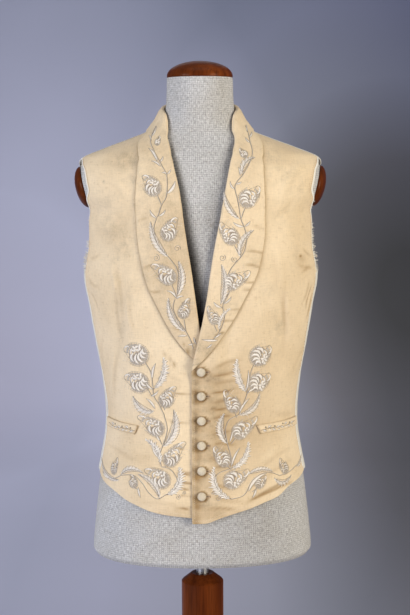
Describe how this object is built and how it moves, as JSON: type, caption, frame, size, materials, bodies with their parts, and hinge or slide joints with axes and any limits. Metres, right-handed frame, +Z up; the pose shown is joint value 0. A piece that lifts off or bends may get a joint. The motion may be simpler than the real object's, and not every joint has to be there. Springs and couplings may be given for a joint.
{
  "type": "embroidered waistcoat on a dress form",
  "caption": "Cream shawl-collared waistcoat with scrolling floral embroidery, buttoned on a limbless linen dress form that slides and turns on a round wooden stand.",
  "frame": {"origin": "centre of the round base's underside, on the floor", "axes": "+Z up along the column; the waistcoat's front faces -Y; the wearer's left side is +X"},
  "size_m": [0.44, 0.44, 1.5565],
  "materials": {
    "cream_silk": "satin",
    "white_cotton": "matte",
    "grey_linen": "matte",
    "mahogany": "gloss",
    "steel": "satin"
  },
  "bodies": {
    "stand": {"base": "mahogany", "column": "mahogany"},
    "spindle": {"spindle": "steel"},
    "bust": {"torso": "grey_linen", "neck_cap": "mahogany", "arm_cap_left": "mahogany", "arm_cap_right": "mahogany", "front_left": "cream_silk", "back_left": "white_cotton", "collar_left": "cream_silk", "welt_left": "cream_silk", "front_right": "cream_silk", "back_right": "white_cotton", "collar_right": "cream_silk", "welt_right": "cream_silk", "button_1": "cream_silk", "button_2": "cream_silk", "button_3": "cream_silk", "button_4": "cream_silk", "button_5": "cream_silk", "button_6": "cream_silk"}
  },
  "joints": [
    {"name": "bust_height", "type": "slide", "parent": "stand", "child": "spindle", "axis": [0, 0, 1], "range_m": [0, 0.15]},
    {"name": "bust_swivel", "type": "hinge", "parent": "spindle", "child": "bust", "pos_m": [0, 0, 0.74], "axis": [0, 0, 1], "continuous": true}
  ]
}
